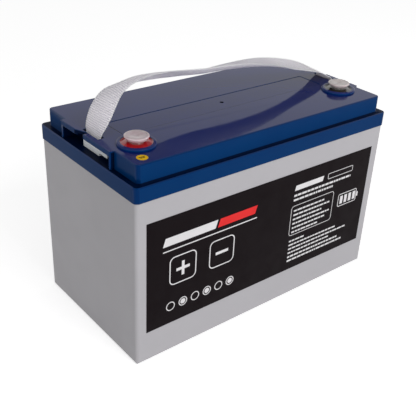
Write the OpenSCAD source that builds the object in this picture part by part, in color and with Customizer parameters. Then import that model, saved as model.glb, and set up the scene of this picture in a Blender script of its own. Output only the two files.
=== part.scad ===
// Twelve volt deep cycle block battery: a jar of six cells under a stepped lid, with two
// threaded terminals, a flush vent cover and a webbing strap held in a pocket at each end.
// Origin: centre of the flat base. X runs along the case, +Z up, the label is on the -Y side.

/* [Case] */
// Length over the lid flange
case_l = 330; // [322:1:350]
// Width over the lid flange
case_w = 172; // [162:1:190]
// Height from the base to the top of the lid
case_h = 212; // [200:1:240]
// Radius of the lid flange's upright corners
corner_r = 5; // [4:0.5:8]
// Wall and floor thickness of the jar
jar_wall = 4; // [3.5:0.25:5]
// How far the jar's walls stand inside the lid flange
jar_inset = 1; // [0.6:0.1:1.6]
// Radius of the jar's bottom edge
base_r = 3; // [1.5:0.5:3]
// Thickness of the partitions between cells
partition_t = 2.5; // [2:0.25:3.5]
// Height of the ribs on the jar's floor that carry the plates
rest_h = 4; // [2:0.5:6]
// Thickness of those ribs
rest_t = 3; // [2:0.5:5]

/* [Lid] */
// Height of the flange that wraps the jar's rim
flange_h = 15.5; // [13:0.5:18]
// Thickness of the flange's wall
flange_t = 3; // [2.5:0.25:3.5]
// Gap between the flange and the jar's rim
rim_gap = 0.2; // [0.1:0.05:0.4]
// Height of the raised deck above the flange
deck_h = 17.5; // [16:0.5:22]
// Distance of the deck's end faces from the flange's edge
deck_inset_x = 6.6; // [5:0.2:8]
// Distance of the deck's long faces from the flange's edge
deck_inset_y = 7; // [5:0.5:9]
// Radius of the deck's upright corners
deck_r = 4; // [3:0.5:6]
// Thickness of the deck's top and walls
deck_t = 3.5; // [3:0.25:4]
// Thickness of the lid's inner walls and floors
web_t = 2.5; // [2:0.25:3]

/* [End pockets] */
// Clear width of the pocket that holds the handle bar
pocket_w = 82; // [70:1:90]
// Shift of the pocket's middle across the case
pocket_y = 1; // [-2:0.5:2]
// Depth of the pocket, from the lid's lip inwards
pocket_d = 13.5; // [12.5:0.25:13.75]
// Distance of the lip over the pocket from the flange's edge
lip_inset = 2; // [1:0.25:3]
// Width of the ribs beside the pocket
rib_t = 3; // [2:0.5:5]
// Width of the lip between the strap slot and the end of the lid
lip_w = 6; // [5:0.25:6.5]
// How far the lip's outer edge hangs below the roof of the pocket
lip_drop = 1.4; // [0.5:0.1:2]
// Thickness of that hanging edge
lip_t = 1.6; // [1:0.1:2.4]
// Size of the strap slot along the case
slot_d = 6.2; // [5.5:0.1:6.4]
// Size of the strap slot across the case
slot_w = 28; // [27:0.5:32]
// Width of the slit in the lip, where the strap is pushed in
slit_w = 1; // [0.6:0.1:2]
// Place of the slit across the case
slit_y = 3.3; // [1:0.1:6]
// Length of the slanted guide beside the slit
guide_l = 14.4; // [10:0.2:18]

/* [Vent cover] */
// Length of the vent cover
cover_l = 261; // [240:1:261]
// Width of the vent cover
cover_w = 31.5; // [30:0.5:34]
// Shift of the vent cover along the case
cover_x = -1.5; // [-2:0.5:1]
// Shift of the vent cover across the case
cover_y = -1; // [-1.5:0.25:1.5]
// Thickness of the vent cover
cover_t = 2.2; // [1.8:0.1:2.4]
// How deep the cover's seat is sunk into the deck
seat_d = 2.5; // [2.4:0.1:3]
// Corner radius of the vent cover
cover_r = 1.5; // [1:0.25:3]
// Gap round the vent cover
cover_gap = 0.3; // [0.2:0.05:0.5]
// Width of the shelf under the cover's edge
shelf_w = 2; // [1.5:0.25:2.5]
// Depth of the vent trough under the deck
trough_d = 15; // [14:0.5:15.5]
// Diameter of the gas hole in the cover
gas_hole_d = 4.4; // [2:0.2:5]
// Outer diameter of the filling necks
neck_d = 9; // [8:0.25:10]
// Bore of the filling necks
neck_bore = 5; // [3:0.25:6]
// Distance of the outermost necks from the cover's ends
neck_end = 12.5; // [10:0.5:14]
// Outer diameter of the valve caps
valve_d = 13; // [12:0.5:15]
// Thickness of a valve cap's roof
valve_roof = 2.5; // [2:0.25:3]
// Height of a valve cap
valve_h = 9; // [7:0.5:10]
// How far a valve cap can lift before it meets the cover
valve_lift = 1; // [0.6:0.1:1.4]
// Radial gap between a valve cap and its neck
valve_gap = 0.15; // [0.05:0.05:0.3]

/* [Terminals] */
// Distance of the terminals from the deck's end faces
terminal_end = 25.2; // [25.2:0.2:30]
// Distance of the terminals from the case's middle plane
terminal_y = 40.5; // [38:0.5:46]
// Outer diameter of the raised ring round a terminal
ring_d = 37; // [35:0.5:38]
// Height of the raised ring above the deck
ring_h = 2.5; // [2:0.25:3.5]
// Radius of the ring's upper edges
ring_r = 1.5; // [0.5:0.25:1.5]
// Diameter of the seal inside the ring
seal_d = 30; // [28:0.5:30]
// Thickness of the seal
seal_t = 3.5; // [2.5:0.25:4]
// How far the seal's face lies below the top of the ring
seal_drop = 1; // [0.5:0.25:1.5]
// Diameter of the terminal's buried flange
foot_d = 24; // [22:0.5:24]
// Thickness of the terminal's buried flange
foot_t = 3; // [2:0.25:4]
// Thickness of the gasket under the flange
gasket_t = 1; // [0.75:0.25:1.5]
// Diameter of the terminal's shank
shank_d = 17; // [16:0.5:18]
// How deep the shank's shoulder is buried in the seal
shoulder_drop = 1; // [0.5:0.25:1.5]
// Length of the shank below the gasket
shank_drop = 12; // [10:0.5:14]
// Diameter of the collar that stands out of the seal
collar_d = 12.5; // [11.5:0.25:12.75]
// Height of the collar above the seal
collar_h = 4.6; // [4:0.2:5.4]
// Tapping bore of the M8 thread
thread_d = 6.8; // [6.6:0.1:7]
// Depth of the thread
thread_l = 20; // [16:1:22]
// Radial gap between the shank and the hole in the lid
shank_gap = 0.2; // [0.1:0.05:0.4]

/* [Terminal caps] */
// Diameter of a cap's flat top
cap_d = 22; // [20:0.5:26]
// Diameter of a cap at its foot
cap_foot_d = 15.5; // [14:0.25:17]
// Thickness of a cap above the terminal's collar
cap_roof = 2; // [1.5:0.25:4]
// Radial gap between a cap and the collar
cap_gap = 0.15; // [0.05:0.05:0.3]
// How far a cap reaches down over the collar
cap_skirt = 1.8; // [1.2:0.1:3]
// Diameter of the dimple in a cap's top
dimple_d = 6; // [4:0.5:9]
// Depth of the dimple
dimple_h = 0.8; // [0.4:0.1:1.2]

/* [Handle] */
// Width of the webbing
strap_w = 25; // [20:0.5:25.5]
// Thickness of the webbing
strap_t = 1.4; // [1:0.1:2]
// Height of the strap's arch above the deck
arch_h = 41; // [30:1:60]
// Width of the bar on each end of the strap
bar_w = 42; // [32:1:60]
// Shift of the bar's middle across the case
bar_y = -6; // [-8:0.5:0]
// Height of the bar
bar_h = 10; // [8:0.5:11]
// Thickness of the bar
bar_t = 5; // [4:0.25:5.4]
// Depth of the socket that grips the strap's end
socket_d = 6; // [4:0.5:7]
// Gap between the strap and its socket
socket_gap = 0.15; // [0.1:0.05:0.3]
// Width of the step under one end of the bar
step_w = 13.5; // [5:0.5:14]
// Height of that step
step_h = 2.8; // [1:0.2:3]

/* [Plates] */
// Positive plates in each cell
positive_count = 5; // [4:1:5]
// Thickness of a positive plate
positive_t = 3.6; // [3.2:0.1:3.8]
// Thickness of a negative plate
negative_t = 2.6; // [2.2:0.1:2.8]
// Gap between the plates' edges and the jar
plate_gap = 1; // [0.5:0.25:2]
// How far the separators stand above the plates
separator_rise = 3; // [1:0.5:6]
// Gap between the separators' edges and the jar
separator_gap = 0.3; // [0.2:0.1:0.5]
// Width of the plates' lugs
lug_w = 12; // [8:1:20]
// Height of the plates' lugs
lug_h = 10; // [8:0.5:12]
// Width of the cast straps that join the lugs
bus_w = 24; // [16:1:26]
// Thickness of the cast straps
bus_t = 8; // [6:0.5:9]
// Gap between those straps' upright tabs and the lid's inner walls, which sets the plates' height
head_gap = 2.5; // [1:0.5:20]
// Height of the upright tab at the end of a cast strap
tab_h = 20; // [18:0.5:20]
// Thickness of that tab
tab_t = 3; // [2:0.25:3.5]
// Diameter of the weld through a partition
weld_d = 10; // [6:0.5:10]
// Diameter of the posts under the terminals
post_d = 12; // [10:0.5:16]

/* [Label and sticker] */
// Length of the front label
label_l = 304; // [260:1:304]
// Height of the front label
label_h = 121; // [100:1:130]
// Height of the label's lower edge above the base
label_z = 35; // [20:1:36]
// Shift of the label along the case
label_x = -1; // [-3:0.5:3]
// Thickness of the label
label_t = 0.3; // [0.2:0.05:0.5]
// Diameter of the round sticker on the deck
sticker_d = 10.5; // [8:0.5:12]
// Distance of the sticker's centre from the deck's end face
sticker_end = 13; // [12:0.5:20]
// Distance of the sticker's centre from the deck's long face
sticker_side = 11.6; // [8:0.2:12]
// Thickness of the sticker
sticker_t = 0.2; // [0.1:0.05:0.4]

/* [Hidden] */
$fn = 48;
// a cut runs this far past the face that it opens
over = 1;
// a 12 V block has six 2 V cells
cells = 6;
last = cells - 1;

function numbered(name) = [for (i = [1 : cells]) str(name, i)];

// levels
deck_z = case_h - deck_h;
flange_z = deck_z - flange_h;
roof_z = case_h - deck_t;
rim_z = deck_z - jar_wall;
plate_z = jar_wall + rest_h;
plate_h = rim_z - head_gap - tab_h - lug_h - plate_z;
lug_z = plate_z + plate_h;
bus_z = lug_z + lug_h;
bus_top = bus_z + bus_t;
weld_z = bus_z + tab_h - weld_d / 2 - over;
shelf_z = case_h - seat_d;
trough_z = case_h - trough_d;
seal_top = case_h + ring_h - seal_drop;
seal_z = seal_top - seal_t;
foot_z = seal_z - foot_t;
gasket_z = foot_z - gasket_t;
shank_z = gasket_z - shank_drop;
shank_top = seal_top - shoulder_drop;
collar_top = seal_top + collar_h;
neck_top = shelf_z - valve_lift - valve_roof;

// plan sizes
jar_l = case_l - 2 * jar_inset;
jar_w = case_w - 2 * jar_inset;
bay_l = jar_l - 2 * jar_wall;
bay_w = jar_w - 2 * jar_wall;
tongue_l = case_l - 2 * (flange_t + rim_gap);
tongue_w = case_w - 2 * (flange_t + rim_gap);
deck_l = case_l - 2 * deck_inset_x;
deck_w = case_w - 2 * deck_inset_y;
cell_l = (bay_l - last * partition_t) / cells;
cell_pitch = cell_l + partition_t;
trough_l = cover_l - 2 * shelf_w;
trough_w = cover_w - 2 * shelf_w;
lip_x = case_l / 2 - lip_inset;
slot_x = lip_x - lip_w;
strap_x = slot_x - slot_d / 2;
pocket_near = pocket_y - pocket_w / 2;
pocket_far = pocket_y + pocket_w / 2;
bar_near = bar_y - bar_w / 2;
terminal_x = deck_l / 2 - terminal_end;
rest_y = [-0.36, -0.12, 0.12, 0.36] * bay_w;

// plate stack of a cell: negative, separator, positive, separator, negative ...
negative_count = positive_count + 1;
separator_t = (cell_l - positive_count * positive_t - negative_count * negative_t)
    / (2 * positive_count);
plate_pitch = positive_t + negative_t + 2 * separator_t;

function cell_x(i) = -bay_l / 2 + i * cell_pitch;
function neck_x(i) =
    i == 0 ? cover_x + neck_end - cover_l / 2 :
    i == last ? cover_x + cover_l / 2 - neck_end :
    cell_x(i) + cell_l / 2;
// the first cell's positive strap lies on the label's side, and the sides swap from cell to cell
function positive_y(i) = i % 2 == 0 ? -terminal_y : terminal_y;

module rounded_rect(l, w, r) {
    square([l - 2 * r, w], center = true);
    square([l, w - 2 * r], center = true);
    for (x = [-1, 1], y = [-1, 1])
        translate([x * (l / 2 - r), y * (w / 2 - r)]) circle(r);
}

module rounded_block(l, w, r, z0, z1) {
    translate([0, 0, z0]) linear_extrude(z1 - z0) rounded_rect(l, w, r);
}

module block(x0, x1, y0, y1, z0, z1) {
    translate([x0, y0, z0]) cube([x1 - x0, y1 - y0, z1 - z0]);
}

module disc(d, z0, z1) {
    translate([0, 0, z0]) cylinder(h = z1 - z0, d = d);
}

module both_ends() {
    children();
    mirror([1, 0, 0]) children();
}

module at_cover() {
    translate([cover_x, cover_y, 0]) children();
}

module at_terminals() {
    for (s = [-1, 1]) translate([s * terminal_x, -terminal_y, 0]) children();
}

// ---- jar ----

// side view of the jar, l long, with its bottom edges rounded
module jar_side(l) {
    translate([-l / 2, base_r]) square([l, rim_z - base_r]);
    translate([base_r - l / 2, 0]) square([l - 2 * base_r, base_r + over]);
    for (s = [-1, 1]) translate([s * (l / 2 - base_r), base_r]) circle(base_r);
}

module jar_body() {
    intersection() {
        rounded_block(jar_l, jar_w, corner_r - jar_inset, 0, rim_z);
        translate([0, case_w / 2, 0]) rotate([90, 0, 0]) linear_extrude(case_w) jar_side(jar_l);
        translate([-case_l / 2, 0, 0]) rotate([90, 0, 90]) linear_extrude(case_l) jar_side(jar_w);
    }
}

// what is cut away round the rim, so that the lid's flange fits over it
module rim_cut() {
    difference() {
        rounded_block(case_l, case_w, corner_r, flange_z, rim_z + over);
        rounded_block(tongue_l, tongue_w, corner_r - flange_t - rim_gap, flange_z - over,
            rim_z + 2 * over);
    }
}

module container() {
    color("silver") difference() {
        jar_body();
        rim_cut();
        for (i = [0 : last])
            block(cell_x(i), cell_x(i) + cell_l, -bay_w / 2, bay_w / 2, plate_z, rim_z + over);
        for (i = [0 : last], k = [0 : len(rest_y)]) floor_gutter(i, k);
        for (i = [1 : last]) weld_place(i) cylinder(h = partition_t + 2 * over, d = weld_d, center = true);
    }
}

// the floor between two neighbouring ribs of a cell
module floor_gutter(i, k) {
    y0 = k == 0 ? -bay_w / 2 : rest_y[k - 1] + rest_t / 2;
    y1 = k == len(rest_y) ? bay_w / 2 : rest_y[k] - rest_t / 2;
    block(cell_x(i), cell_x(i) + cell_l, y0, y1, jar_wall, plate_z + over);
}

module weld_place(i) {
    translate([cell_x(i) - partition_t / 2, positive_y(i), weld_z]) rotate([0, 90, 0]) children();
}

// ---- lid ----

module lid() {
    color("midnightblue") difference() {
        union() {
            lid_shell();
            both_ends() pocket_walls();
            trough_walls();
            partition_webs();
            at_terminals() terminal_boss();
            for (i = [0 : last]) translate([neck_x(i), 0, 0]) disc(neck_d, trough_z - web_t, neck_top);
        }
        both_ends() pocket_cut();
        at_cover() rounded_block(cover_l + 2 * cover_gap, cover_w + 2 * cover_gap, cover_r,
            shelf_z, case_h + over);
        at_terminals() terminal_cut();
        for (i = [0 : last]) translate([neck_x(i), 0, 0])
            disc(neck_bore, trough_z - web_t - over, neck_top + over);
    }
}

module lid_shell() {
    difference() {
        union() {
            rounded_block(case_l, case_w, corner_r, flange_z, deck_z);
            rounded_block(deck_l, deck_w, deck_r, deck_z - over, case_h);
            block(-lip_x, lip_x, pocket_near - rib_t, pocket_far + rib_t, deck_z - over, case_h);
        }
        rounded_block(case_l - 2 * flange_t, case_w - 2 * flange_t, corner_r - flange_t,
            flange_z - over, rim_z);
        block(deck_t - deck_l / 2, deck_l / 2 - deck_t, deck_t - deck_w / 2, deck_w / 2 - deck_t,
            rim_z - over, roof_z);
        // the trough is sunk through the roof
        trough(roof_z - over);
    }
}

// the space of the vent trough, from z up through the deck
module trough(z) {
    at_cover() block(-trough_l / 2, trough_l / 2, -trough_w / 2, trough_w / 2, z, case_h + over);
}

module pocket_walls() {
    x0 = lip_x - pocket_d - web_t;
    block(x0, lip_x - deck_inset_x, pocket_near - web_t, pocket_far + web_t,
        deck_z - web_t, roof_z + over);
}

module pocket_cut() {
    difference() {
        block(lip_x - pocket_d, lip_x + over, pocket_near, pocket_far, deck_z, roof_z);
        // the lip's hanging edge stays
        block(lip_x - lip_t, lip_x + 2 * over, pocket_near - over, pocket_far + over,
            roof_z - lip_drop, roof_z + over);
    }
    block(slot_x - slot_d, slot_x, -slot_w / 2, slot_w / 2, deck_z + over, case_h + over);
    // slit and slanted guide, through which the strap is pushed into its slot
    translate([0, 0, roof_z - lip_drop - over])
    linear_extrude(deck_t + lip_drop + 2 * over) polygon([
        [slot_x - over, slit_y],
        [lip_x + over, slit_y],
        [lip_x + over, slit_y + slit_w + guide_l],
        [lip_x, slit_y + slit_w + guide_l],
        [slot_x, slit_y + slit_w],
        [slot_x - over, slit_y + slit_w]
    ]);
}

module trough_walls() {
    l = trough_l / 2 + shelf_w + web_t / 2;
    w = trough_w / 2 + shelf_w + web_t / 2;
    difference() {
        at_cover() block(-l, l, -w, w, trough_z - web_t, roof_z + over);
        trough(trough_z);
    }
}

// walls over the jar's partitions, cut back where the trough passes over them
module partition_webs() {
    w = deck_w / 2 - deck_t + over;
    for (i = [1 : last]) difference() {
        block(cell_x(i) - partition_t, cell_x(i), -w, w, rim_z, roof_z + over);
        trough(trough_z);
    }
}

module terminal_boss() {
    disc(foot_d + 2 * (shank_gap + web_t), gasket_z - web_t, roof_z + over);
    translate([0, 0, case_h]) rotate_extrude() {
        translate([seal_d / 2 - over, -over]) square([(ring_d - seal_d) / 2 + over, ring_h - ring_r + over]);
        translate([seal_d / 2 - over, 0]) square([(ring_d - seal_d) / 2 - ring_r + over, ring_h]);
        translate([ring_d / 2 - ring_r, ring_h - ring_r]) circle(ring_r);
    }
}

module terminal_cut() {
    disc(seal_d, seal_z, case_h + ring_h + over);
    disc(foot_d + 2 * shank_gap, gasket_z, seal_z + over);
    disc(shank_d + 2 * shank_gap, gasket_z - web_t - over, gasket_z + over);
}

// ---- vent cover and valves ----

module vent_cover() {
    color("darkslateblue") at_cover() difference() {
        rounded_block(cover_l, cover_w, cover_r, shelf_z, shelf_z + cover_t);
        disc(gas_hole_d, shelf_z - over, case_h + over);
    }
}

module valve_cap(i) {
    color("black") translate([neck_x(i), 0, 0]) difference() {
        disc(valve_d, neck_top + valve_roof - valve_h, neck_top + valve_roof);
        disc(neck_d + 2 * valve_gap, neck_top + valve_roof - valve_h - over, neck_top);
    }
}

// ---- terminals, s is -1 at the positive end and 1 at the negative end ----

module terminal(s) {
    color("lightgray") translate([s * terminal_x, -terminal_y, 0]) difference() {
        union() {
            disc(shank_d, shank_z, shank_top);
            disc(foot_d, foot_z, seal_z);
            disc(collar_d, shank_top - over, collar_top);
        }
        disc(thread_d, collar_top - thread_l, collar_top + over);
    }
}

module gasket(s) {
    color("dimgray") translate([s * terminal_x, -terminal_y, 0]) difference() {
        disc(foot_d, gasket_z, foot_z);
        disc(shank_d, gasket_z - over, foot_z + over);
    }
}

module seal(s) {
    color(s < 0 ? "firebrick" : "black") translate([s * terminal_x, -terminal_y, 0]) difference() {
        disc(seal_d, seal_z, seal_top);
        disc(shank_d, seal_z - over, shank_top);
        disc(collar_d, seal_z, seal_top + over);
    }
}

module terminal_cap(s) {
    foot = collar_top - cap_skirt;
    top = collar_top + cap_roof;
    color(s < 0 ? "mistyrose" : "gainsboro") translate([s * terminal_x, -terminal_y, 0]) difference() {
        translate([0, 0, foot]) cylinder(h = top - foot, d1 = cap_foot_d, d2 = cap_d);
        disc(collar_d + 2 * cap_gap, foot - over, collar_top);
        disc(dimple_d, top - dimple_h, top + over);
    }
}

module terminal_post(s) {
    color("slategray") translate([s * terminal_x, -terminal_y, 0]) disc(post_d, bus_top, shank_z);
}

// ---- handle ----

module handle_bar() {
    color("white") difference() {
        block(strap_x - bar_t / 2, strap_x + bar_t / 2, bar_near, bar_near + bar_w, deck_z, deck_z + bar_h);
        block(strap_x - strap_t / 2 - socket_gap, strap_x + strap_t / 2 + socket_gap,
            -strap_w / 2 - socket_gap, strap_w / 2 + socket_gap,
            deck_z + bar_h - socket_d, deck_z + bar_h + over);
        block(strap_x - bar_t, strap_x + bar_t, bar_near - over, bar_near + step_w,
            deck_z - over, deck_z + step_h);
    }
}

// the strap's run from slot to slot: share of the half span, share of the arch's height,
// sway to +Y, tilt in degrees (minus lifts the -Y edge), and depth of the gutter across it
strap_run = [
    [-0.994, 0.1, -0.3, 8, 0],
    [-0.975, 0.26, -0.6, 18, -0.5],
    [-0.947, 0.46, -0.8, 24, -1.5],
    [-0.91, 0.67, -0.6, 19, -2.5],
    [-0.86, 0.85, 0, 4, -3],
    [-0.785, 0.96, 0, -15, -3.7],
    [-0.67, 1.01, 0.5, -27, -4],
    [-0.51, 1.01, 1, -31, -2],
    [-0.35, 0.96, 2, -30, 1],
    [-0.18, 0.92, 2.4, -25, 3],
    [0, 0.92, 2.6, -18, 4],
    [0.18, 0.89, 2.3, -9, 4.5],
    [0.34, 0.83, 1.6, 0, 4.6],
    [0.48, 0.73, 0.8, 7, 4],
    [0.6, 0.61, 0, 13, 3],
    [0.71, 0.5, -0.5, 12, 1.7],
    [0.8, 0.39, -0.6, 8, 0.8],
    [0.87, 0.29, -0.4, 4, 0.2],
    [0.92, 0.19, 0, 2, 0],
    [0.96, 0.105, 0, 1, 0],
    [0.985, 0.06, 0, 0, 0],
    [0.998, 0.015, 0, 0, 0]
];
// each leg stands upright from the socket's floor to the slot's mouth
leg_z = deck_z + bar_h - socket_d;
leg = [0, 0.4, 0.8];

strap_points = concat(
    [for (k = leg) [-strap_x, 0, leg_z + k * (case_h - leg_z), 0, 0]],
    [for (s = strap_run) [s[0] * strap_x, s[2], case_h + s[1] * arch_h, s[3], s[4]]],
    [for (k = [2 : -1 : 0]) [strap_x, 0, leg_z + leg[k] * (case_h - leg_z), 0, 0]]
);

function spline(a, b, c, d, t) =
    b + (c - a) * t / 2 + (a - 2.5 * b + 2 * c - d / 2) * t * t
    + (1.5 * (b - c) + (d - a) / 2) * t * t * t;
function place(v) = [v[0], v[1], v[2]];
function unit(v) = v / norm(v);

strap_end = len(strap_points) - 1;
strap_line = concat(
    [for (i = [0 : strap_end - 1], t = [0, 0.5])
        spline(strap_points[max(i - 1, 0)], strap_points[i], strap_points[i + 1],
            strap_points[min(i + 2, strap_end)], t)],
    [strap_points[strap_end]]
);
strap_rings = len(strap_line);
across = [-1, -0.5, 0, 0.5, 1];

// one ring of the strap: the upper face from -Y to +Y, then the lower face back
function strap_ring(i) =
    let (
        here = strap_line[i],
        run = unit(place(strap_line[min(i + 1, strap_rings - 1)]) - place(strap_line[max(i - 1, 0)])),
        level = unit([0, 1, 0] - run[1] * run),
        side = cos(here[3]) * level + sin(here[3]) * cross(run, level),
        up = cross(run, side),
        face = [for (k = across)
            place(here) + k * strap_w / 2 * side - here[4] * (1 - k * k) * up]
    )
    concat(
        [for (p = face) p + strap_t / 2 * up],
        [for (k = [len(face) - 1 : -1 : 0]) face[k] - strap_t / 2 * up]
    );

module handle_strap() {
    n = 2 * len(across);
    last_ring = (strap_rings - 1) * n;
    half = len(across) - 1;
    color("whitesmoke") polyhedron(
        points = [for (i = [0 : strap_rings - 1]) each strap_ring(i)],
        faces = concat(
            [for (i = [0 : strap_rings - 2], k = [0 : n - 1])
                let (a = i * n + k, b = i * n + (k + 1) % n) each [[a, b, b + n], [a, b + n, a + n]]],
            [for (k = [0 : half - 1]) each [
                [k, n - 1 - k, n - 2 - k], [k, n - 2 - k, k + 1],
                [last_ring + k, last_ring + n - 2 - k, last_ring + n - 1 - k],
                [last_ring + k, last_ring + k + 1, last_ring + n - 2 - k]
            ]]
        )
    );
}

// ---- plates; every cell holds a stack across its full length ----

// plates joined at their lugs by a cast strap from x0 to x1, with a welding tab at tab_x
module plate_group(i, first, count, thickness, lug_y, tab_x, tab_on) {
    x = cell_x(i) + first;
    w = bay_w / 2 - plate_gap;
    far = x + (count - 1) * plate_pitch + thickness;
    for (k = [0 : count - 1]) translate([x + k * plate_pitch, 0, 0]) {
        block(0, thickness, -w, w, plate_z, lug_z);
        block(0, thickness, lug_y - lug_w / 2, lug_y + lug_w / 2, lug_z - over, bus_z + over);
    }
    block(tab_on ? min(x, tab_x) : x, tab_on ? max(far, tab_x) : far,
        lug_y - bus_w / 2, lug_y + bus_w / 2, bus_z, bus_top);
    if (tab_on) {
        inward = tab_x < x ? tab_t : -tab_t;
        block(min(tab_x, tab_x + inward), max(tab_x, tab_x + inward),
            lug_y - bus_w / 2, lug_y + bus_w / 2, bus_z, bus_z + tab_h);
    }
}

module positive_plates(i) {
    color("saddlebrown")
        plate_group(i, negative_t + separator_t, positive_count, positive_t, positive_y(i),
            cell_x(i), i > 0);
}

module negative_plates(i) {
    color("gray")
        plate_group(i, 0, negative_count, negative_t, -positive_y(i), cell_x(i) + cell_l, i < last);
}

module separators(i) {
    w = bay_w / 2 - separator_gap;
    color("ivory") for (k = [0 : positive_count - 1], x = [0, positive_t + separator_t])
        translate([cell_x(i) + negative_t + k * plate_pitch + x, 0, 0])
            block(0, separator_t, -w, w, plate_z, lug_z + separator_rise);
}

module cell_weld(i) {
    color("lightslategray") weld_place(i) cylinder(h = partition_t, d = weld_d, center = true);
}

// ---- label and sticker ----

module front_label() {
    y = -jar_w / 2;
    color("black") block(label_x - label_l / 2, label_x + label_l / 2, y - label_t, y,
        label_z, label_z + label_h);
}

module date_sticker() {
    color("gold") translate([sticker_end - deck_l / 2, sticker_side - deck_w / 2, 0])
        disc(sticker_d, case_h, case_h + sticker_t);
}

container();
lid();
vent_cover();
front_label();
date_sticker();
terminal(-1);  // positive_terminal
terminal(1);  // negative_terminal
gasket(-1);  // positive_gasket
gasket(1);  // negative_gasket
seal(-1);  // positive_seal
seal(1);  // negative_seal
terminal_cap(-1);  // positive_cap
terminal_cap(1);  // negative_cap
handle_strap();
mirror([1, 0, 0]) handle_bar();  // left_handle_bar
handle_bar();  // right_handle_bar
terminal_post(-1);  // positive_post
terminal_post(1);  // negative_post
for (i = [0 : last]) {
    valve_cap(i);
    positive_plates(i);
    negative_plates(i);
    separators(i);
}
for (i = [1 : last]) {
    cell_weld(i);
}
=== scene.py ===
"""Looks of the deep cycle battery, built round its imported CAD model: a satin grey jar, a glossy
blue lid with rounded edges, turned terminals, a woven strap, a printed label and a plain studio.
Lengths are in millimetres until a mesh is made; MM turns them into the frame's metres."""

import math
import random

import bmesh
import bpy
import numpy as np
from mathutils import Matrix, Vector


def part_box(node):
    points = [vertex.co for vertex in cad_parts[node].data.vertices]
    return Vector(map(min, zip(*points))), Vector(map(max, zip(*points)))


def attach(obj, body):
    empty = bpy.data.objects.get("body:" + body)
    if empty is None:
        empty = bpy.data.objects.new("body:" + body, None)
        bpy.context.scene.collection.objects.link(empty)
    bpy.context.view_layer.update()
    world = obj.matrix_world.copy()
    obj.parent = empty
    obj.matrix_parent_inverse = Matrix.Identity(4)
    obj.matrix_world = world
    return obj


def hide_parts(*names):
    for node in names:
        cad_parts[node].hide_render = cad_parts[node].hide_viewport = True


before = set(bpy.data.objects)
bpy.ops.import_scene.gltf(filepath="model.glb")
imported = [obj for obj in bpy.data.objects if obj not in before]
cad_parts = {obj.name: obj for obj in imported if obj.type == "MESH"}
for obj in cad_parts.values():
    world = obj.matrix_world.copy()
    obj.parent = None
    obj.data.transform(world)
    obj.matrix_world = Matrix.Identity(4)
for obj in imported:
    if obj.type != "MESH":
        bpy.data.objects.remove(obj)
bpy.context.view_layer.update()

MM = 0.001
WELD = 1e-6  # metres within which two corners are one
FLAT_ANGLE = math.radians(0.5)
SHARP_ANGLE = math.radians(35)
ARC_STEPS = 4
LATHE_STEPS = 96


def node_box(node):
    """Lowest and highest corner of a CAD node, in mm."""
    low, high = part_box(node)
    return np.array(low) / MM, np.array(high) / MM


# ---- meshes ----


def object_of(data, name):
    made = bpy.data.objects.new(name, data)
    bpy.context.scene.collection.objects.link(made)
    return made


def mesh_of(bm, name):
    """A new object from a bmesh whose places are in mm, smooth but for its sharp edges."""
    bm.transform(Matrix.Scale(MM, 4))
    bmesh.ops.recalc_face_normals(bm, faces=bm.faces)
    mesh = bpy.data.meshes.new(name)
    bm.to_mesh(mesh)
    bm.free()
    mesh.polygons.foreach_set("use_smooth", [True] * len(mesh.polygons))
    mesh.set_sharp_from_angle(angle=SHARP_ANGLE)
    return object_of(mesh, name)


def finish_piece(piece, body, material, slot, *nodes):
    """Gives a piece its material and its body, and hides the CAD nodes it stands for. slot is not
    used.
    """
    if not piece.data.materials:
        piece.data.materials.append(material)
    if nodes:
        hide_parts(*nodes)
    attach(piece, body)


def rounded_copy(node, name, width_of, segments=3, finish=-1):
    """A copy of a CAD node whose edges are rounded: width_of(edge) gives a radius in mm, or 0.
    Its triangles are welded and joined into flat faces first. finish is the place of the
    rounded edges' material among the copy's materials, or -1 for the material beside each."""
    bm = bmesh.new()
    bm.from_mesh(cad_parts[node].data)
    bmesh.ops.remove_doubles(bm, verts=bm.verts, dist=WELD)
    bmesh.ops.dissolve_limit(
        bm, angle_limit=FLAT_ANGLE, verts=bm.verts, edges=bm.edges, delimit=set()
    )
    weight = bm.edges.layers.float.new("bevel_weight_edge")
    bm.transform(Matrix.Scale(1 / MM, 4))
    widths = {e: width_of(e) for e in bm.edges if e.calc_face_angle_signed(0) > SHARP_ANGLE}
    widest = max(widths.values())
    for edge, width in widths.items():
        edge[weight] = width / widest
    made = mesh_of(bm, name)
    bevel = made.modifiers.new("rounding", "BEVEL")
    bevel.limit_method = "WEIGHT"
    bevel.width = widest * MM
    bevel.segments = segments
    bevel.use_clamp_overlap = False
    bevel.harden_normals = True
    bevel.miter_outer = "MITER_ARC"
    bevel.material = finish
    even = made.modifiers.new("flat_faces_flat", "WEIGHTED_NORMAL")
    even.mode = "FACE_AREA"
    even.weight = 100
    even.keep_sharp = True
    return made


def rounded(corners):
    """The outline through corners (radius, height, fillet), with each corner turned into an arc."""
    outline = []
    for i, (r, z, fillet) in enumerate(corners):
        here = Vector((r, z))
        before = Vector(corners[i - 1][:2]) - here
        after = Vector(corners[(i + 1) % len(corners)][:2]) - here
        if fillet == 0:
            outline.append((r, z))
            continue
        before.normalize()
        after.normalize()
        half = before.angle(after) / 2
        middle = here + (before + after).normalized() * fillet / math.sin(half)
        start = here + before * fillet / math.tan(half) - middle
        end = here + after * fillet / math.tan(half) - middle
        for k in range(ARC_STEPS + 1):
            point = middle + start.slerp(end, k / ARC_STEPS)
            outline.append((point.x, point.y))
    return outline


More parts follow.
